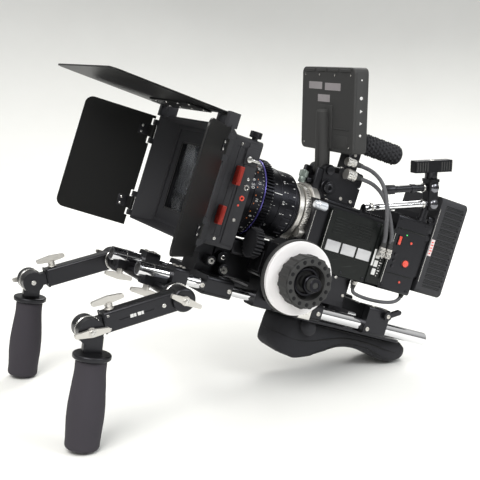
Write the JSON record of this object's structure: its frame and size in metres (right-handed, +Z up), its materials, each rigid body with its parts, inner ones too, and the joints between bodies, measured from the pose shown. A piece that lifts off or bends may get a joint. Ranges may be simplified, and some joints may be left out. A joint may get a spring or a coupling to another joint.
{
  "type": "shoulder camera rig",
  "caption": "Shoulder-mounted cinema camera on support rods with lens, matte box and flags, follow focus, monitor, battery, two jointed foam grips and a shoulder pad.",
  "frame": {"origin": "under the middle of the whole rig's box, on the table that the grips and the pad stand on", "axes": "+Z up, +X the camera's left, +Y from lens to battery, level with the table; the rods tip nose up by 18.4 degrees"},
  "size_m": [0.3788, 0.6772, 0.4553],
  "materials": {
    "black_anodised": "satin black anodised",
    "camera_black": "fine textured black",
    "polished_rod": "polished",
    "satin_steel": "satin",
    "lens_black": "hard black anodised",
    "coated_glass": "coated",
    "matte_box_black": "matte",
    "flag_black": "satin black",
    "gear_black": "moulded",
    "white_disc": "satin white",
    "moulded_black": "moulded",
    "foam": "closed-cell foam",
    "padding": "padded cloth",
    "grip_rubber": "studded rubber",
    "battery_case": "ribbed plastic",
    "red_button": "gloss red",
    "cable_jacket": "smooth jacket"
  },
  "bodies": {
    "chassis": {"front_rods": "polished_rod", "rear_rods": "polished_rod", "bracket_tubes": "polished_rod", "handle_bracket": "black_anodised", "base_plate": "black_anodised", "camera_riser": "black_anodised", "rear_clamp": "black_anodised", "shoulder_plate": "black_anodised", "shoulder_pad": "padding", "camera_body": "camera_black", "side_panel": "camera_black", "storage_slot": "moulded_black", "rear_module": "camera_black", "lock_plate": "black_anodised", "lens_barrel": "lens_black", "front_glass": "coated_glass", "hood": "matte_box_black", "filter_stage": "matte_box_black", "box_support": "black_anodised", "focus_housing": "black_anodised", "handle_frame": "black_anodised", "handle_grip": "grip_rubber", "ball_clamp": "black_anodised", "stay_rod": "polished_rod", "upper_arm": "black_anodised", "connectors": "satin_steel", "monitor_cables": "cable_jacket", "power_cable": "cable_jacket"},
    "bracket_lever_left": {"bracket_lever_left": "satin_steel"},
    "bracket_lever_right": {"bracket_lever_right": "satin_steel"},
    "rear_clamp_lever": {"rear_clamp_lever": "black_anodised"},
    "record_button": {"record_button": "red_button"},
    "battery": {"battery": "battery_case"},
    "focus_ring": {"focus_ring": "lens_black"},
    "iris_ring": {"iris_ring": "lens_black"},
    "mount_lock_ring": {"mount_lock_ring": "satin_steel"},
    "filter_tray_front": {"filter_tray_front": "matte_box_black"},
    "filter_tray_rear": {"filter_tray_rear": "matte_box_black"},
    "flag_left": {"flag_left": "flag_black"},
    "flag_right": {"flag_right": "flag_black"},
    "top_flag": {"top_flag": "flag_black"},
    "drive_gear": {"drive_gear": "gear_black"},
    "monitor": {"monitor": "moulded_black"},
    "clamp_knob": {"clamp_knob": "black_anodised"},
    "handwheel": {"handwheel": "moulded_black", "marking_disc": "white_disc"},
    "arm_left": {"arm_left": "black_anodised"},
    "arm_bar_left": {"arm_bar_left": "black_anodised"},
    "shoulder_lever_left": {"shoulder_lever_left": "satin_steel"},
    "arm_lever_left": {"arm_lever_left": "satin_steel"},
    "elbow_lever_left": {"elbow_lever_left": "satin_steel"},
    "wrist_left": {"wrist_left": "black_anodised", "foam_grip_left": "foam"},
    "arm_right": {"arm_right": "black_anodised"},
    "arm_bar_right": {"arm_bar_right": "black_anodised"},
    "shoulder_lever_right": {"shoulder_lever_right": "satin_steel"},
    "arm_lever_right": {"arm_lever_right": "satin_steel"},
    "elbow_lever_right": {"elbow_lever_right": "satin_steel"},
    "wrist_right": {"wrist_right": "black_anodised", "foam_grip_right": "foam"}
  },
  "joints": [
    {"name": "shoulder_left", "type": "hinge", "parent": "chassis", "child": "arm_left", "pos_m": [0.11058, -0.1805, 0.17031], "axis": [1, 0, 0], "range_deg": [-20, 60]},
    {"name": "arm_extend_left", "type": "slide", "parent": "arm_left", "child": "arm_bar_left", "axis": [0, -0.9819, -0.1894], "range_m": [0, 0.035]},
    {"name": "elbow_left", "type": "hinge", "parent": "arm_bar_left", "child": "wrist_left", "pos_m": [0.11058, -0.30324, 0.14664], "axis": [1, 0, 0], "range_deg": [-95, 40]},
    {"name": "shoulder_lever_left_turn", "type": "hinge", "parent": "arm_left", "child": "shoulder_lever_left", "pos_m": [0.12658, -0.1805, 0.17031], "axis": [1, 0, 0], "range_deg": [-90, 90]},
    {"name": "arm_lever_left_turn", "type": "hinge", "parent": "arm_left", "child": "arm_lever_left", "pos_m": [0.11058, -0.27083, 0.15288], "axis": [0, -0.1894, 0.9819], "range_deg": [-90, 90]},
    {"name": "elbow_lever_left_turn", "type": "hinge", "parent": "wrist_left", "child": "elbow_lever_left", "pos_m": [0.13348, -0.30324, 0.14664], "axis": [1, 0, 0], "range_deg": [-90, 90]},
    {"name": "bracket_lever_left_turn", "type": "hinge", "parent": "chassis", "child": "bracket_lever_left", "pos_m": [0.03428, -0.19622, 0.17058], "axis": [0, -0.3156, -0.9489], "range_deg": [-90, 90]},
    {"name": "shoulder_right", "type": "hinge", "parent": "chassis", "child": "arm_right", "pos_m": [-0.14602, -0.1805, 0.17031], "axis": [1, 0, 0], "range_deg": [-20, 60]},
    {"name": "arm_extend_right", "type": "slide", "parent": "arm_right", "child": "arm_bar_right", "axis": [0, -0.9819, -0.1894], "range_m": [0, 0.035]},
    {"name": "elbow_right", "type": "hinge", "parent": "arm_bar_right", "child": "wrist_right", "pos_m": [-0.14602, -0.30324, 0.14664], "axis": [1, 0, 0], "range_deg": [-95, 40]},
    {"name": "shoulder_lever_right_turn", "type": "hinge", "parent": "arm_right", "child": "shoulder_lever_right", "pos_m": [-0.16202, -0.1805, 0.17031], "axis": [-1, 0, 0], "range_deg": [-90, 90]},
    {"name": "arm_lever_right_turn", "type": "hinge", "parent": "arm_right", "child": "arm_lever_right", "pos_m": [-0.14602, -0.27083, 0.15288], "axis": [0, -0.1894, 0.9819], "range_deg": [-90, 90]},
    {"name": "elbow_lever_right_turn", "type": "hinge", "parent": "wrist_right", "child": "elbow_lever_right", "pos_m": [-0.16892, -0.30324, 0.14664], "axis": [-1, 0, 0], "range_deg": [-90, 90]},
    {"name": "bracket_lever_right_turn", "type": "hinge", "parent": "chassis", "child": "bracket_lever_right", "pos_m": [-0.06972, -0.19622, 0.17058], "axis": [0, -0.3156, -0.9489], "range_deg": [-90, 90]},
    {"name": "flag_left_hinge", "type": "hinge", "parent": "chassis", "child": "flag_left", "pos_m": [0.10678, -0.13684, 0.29838], "axis": [0, 0.3156, 0.9489], "range_deg": [-50, 50]},
    {"name": "flag_right_hinge", "type": "hinge", "parent": "chassis", "child": "flag_right", "pos_m": [-0.14222, -0.13684, 0.29838], "axis": [0, 0.3156, 0.9489], "range_deg": [-82, 18]},
    {"name": "top_flag_hinge", "type": "hinge", "parent": "chassis", "child": "top_flag", "pos_m": [-0.01772, -0.10512, 0.3969], "axis": [1, 0, 0], "range_deg": [-45, 80]},
    {"name": "tray_front_slide", "type": "slide", "parent": "chassis", "child": "filter_tray_front", "axis": [1, 0, 0], "range_m": [0, 0.16]},
    {"name": "tray_rear_slide", "type": "slide", "parent": "chassis", "child": "filter_tray_rear", "axis": [1, 0, 0], "range_m": [0, 0.16]},
    {"name": "focus_ring_turn", "type": "hinge", "parent": "chassis", "child": "focus_ring", "pos_m": [-0.01772, -0.01982, 0.26999], "axis": [0, 0.9489, -0.3156], "range_deg": [-100, 100]},
    {"name": "drive_gear_turn", "type": "hinge", "parent": "chassis", "child": "drive_gear", "pos_m": [0.03228, -0.03801, 0.2153], "axis": [0, 0.9489, -0.3156], "range_deg": [-285, 285]},
    {"name": "handwheel_turn", "type": "hinge", "parent": "chassis", "child": "handwheel", "pos_m": [0.10828, -0.01107, 0.17908], "axis": [1, 0, 0], "range_deg": [-285, 285]},
    {"name": "iris_ring_turn", "type": "hinge", "parent": "chassis", "child": "iris_ring", "pos_m": [-0.01772, 0.01813, 0.25736], "axis": [0, 0.9489, -0.3156], "range_deg": [-35, 35]},
    {"name": "lock_ring_turn", "type": "hinge", "parent": "chassis", "child": "mount_lock_ring", "pos_m": [-0.01772, 0.05135, 0.24631], "axis": [0, 0.9489, -0.3156], "range_deg": [0, 25]},
    {"name": "battery_lift", "type": "slide", "parent": "chassis", "child": "battery", "axis": [0, 0.3156, 0.9489], "range_m": [0, 0.02]},
    {"name": "record_press", "type": "slide", "parent": "chassis", "child": "record_button", "axis": [-1, 0, 0], "range_m": [0, 0.0015], "stiffness_N_per_m": 600, "springref_m": -0.0008},
    {"name": "rear_clamp_lever_turn", "type": "hinge", "parent": "chassis", "child": "rear_clamp_lever", "pos_m": [0.04878, 0.17761, 0.09049], "axis": [1, 0, 0], "range_deg": [0, 50]},
    {"name": "monitor_tilt", "type": "hinge", "parent": "chassis", "child": "monitor", "pos_m": [-0.01772, 0.09969, 0.30611], "axis": [1, 0, 0], "range_deg": [-4, 60]},
    {"name": "clamp_knob_turn", "type": "hinge", "parent": "chassis", "child": "clamp_knob", "pos_m": [0.02228, 0.26891, 0.25087], "axis": [0, 0, 1], "range_deg": [-180, 180]}
  ],
  "couplings": [
    {"joint": "drive_gear_turn", "follows": "focus_ring_turn", "ratio": -2.8},
    {"joint": "handwheel_turn", "follows": "focus_ring_turn", "ratio": 2.8}
  ]
}
